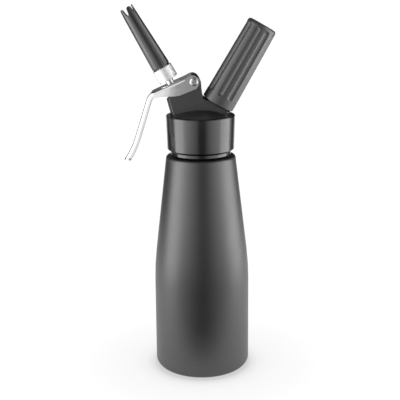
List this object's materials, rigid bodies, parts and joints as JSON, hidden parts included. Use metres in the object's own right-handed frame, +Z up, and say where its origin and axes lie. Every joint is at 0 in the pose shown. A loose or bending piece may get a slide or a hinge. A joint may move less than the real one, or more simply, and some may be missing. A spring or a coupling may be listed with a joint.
{
  "type": "whipped cream dispenser",
  "caption": "Bottle-shaped cream whipper: tapered bottle, screwed head with squeeze lever, leaning toothed nozzle and fluted gas charger holder.",
  "frame": {"origin": "middle of the foot ring, on the surface that the bottle stands on", "axes": "+Z up along the bottle's axis, +X towards the gas charger holder, -X towards the nozzle and the lever"},
  "size_m": [0.1235, 0.079, 0.3066],
  "materials": {
    "bottle_lacquer": "satin black lacquer over drawn aluminium",
    "collar_lacquer": "semi-gloss black lacquer",
    "head_black": "fine satin moulding",
    "nozzle_black": "semi-gloss moulding",
    "holder_grey": "satin dark grey moulding",
    "polished_steel": "polished stainless steel",
    "plain_steel": "bright stainless steel",
    "zinc_steel": "zinc-plated steel",
    "brass": "machined",
    "rubber": "matt",
    "silicone": "matt red silicone"
  },
  "bodies": {
    "bottle": {"bottle": "bottle_lacquer"},
    "head_lift": {"head_gasket": "silicone"},
    "head": {"head_body": "head_black", "grip_collar": "collar_lacquer", "pivot_screw": "polished_steel", "pivot_nut": "plain_steel", "valve_bush": "brass", "valve_spring": "plain_steel", "charger_port": "brass", "piercing_pin": "plain_steel", "pin_nut": "brass", "charger_seal": "rubber", "check_valve": "silicone"},
    "lever": {"lever": "polished_steel"},
    "valve": {"valve_stem": "polished_steel", "stem_ring_lower": "rubber", "stem_ring_upper": "rubber", "valve_seal": "rubber", "seal_screw": "plain_steel", "nozzle_adapter": "polished_steel"},
    "nozzle_lift": {"nozzle_seal": "rubber"},
    "nozzle": {"decorating_nozzle": "nozzle_black"},
    "charger": {"gas_charger": "zinc_steel"},
    "holder": {"charger_holder": "holder_grey", "holder_pad": "rubber"}
  },
  "joints": [
    {"name": "head_rise", "type": "slide", "parent": "bottle", "child": "head_lift", "axis": [0, 0, 1], "range_m": [0, 0.01]},
    {"name": "head_turn", "type": "hinge", "parent": "head_lift", "child": "head", "pos_m": [0, 0, 0.2105], "axis": [0, 0, 1], "range_deg": [0, 720]},
    {"name": "lever_squeeze", "type": "hinge", "parent": "head", "child": "lever", "pos_m": [-0.005, 0, 0.246], "axis": [0, -1, 0], "range_deg": [0, 11.5]},
    {"name": "valve_slide", "type": "slide", "parent": "head", "child": "valve", "axis": [0.5, 0, -0.866], "range_m": [0, 0.0035], "stiffness_N_per_m": 800, "springref_m": -0.004, "deforming": ["valve_spring"]},
    {"name": "nozzle_rise", "type": "slide", "parent": "valve", "child": "nozzle_lift", "axis": [-0.5, 0, 0.866], "range_m": [0, 0.004]},
    {"name": "nozzle_turn", "type": "hinge", "parent": "nozzle_lift", "child": "nozzle", "pos_m": [-0.031, 0, 0.25619], "axis": [-0.5, 0, 0.866], "range_deg": [0, 720]},
    {"name": "holder_rise", "type": "slide", "parent": "head", "child": "charger", "axis": [0.5, 0, 0.866], "range_m": [0, 0.009]},
    {"name": "holder_turn", "type": "hinge", "parent": "charger", "child": "holder", "pos_m": [0.02, 0, 0.23714], "axis": [0.5, 0, 0.866], "range_deg": [0, 1080]}
  ],
  "couplings": [
    {"joint": "head_turn", "follows": "head_rise", "rad_per_m": 1256.6},
    {"joint": "lever_squeeze", "follows": "valve_slide", "rad_per_m": 57.34},
    {"joint": "nozzle_turn", "follows": "nozzle_rise", "rad_per_m": 3141.5},
    {"joint": "holder_turn", "follows": "holder_rise", "rad_per_m": 2094.3}
  ]
}
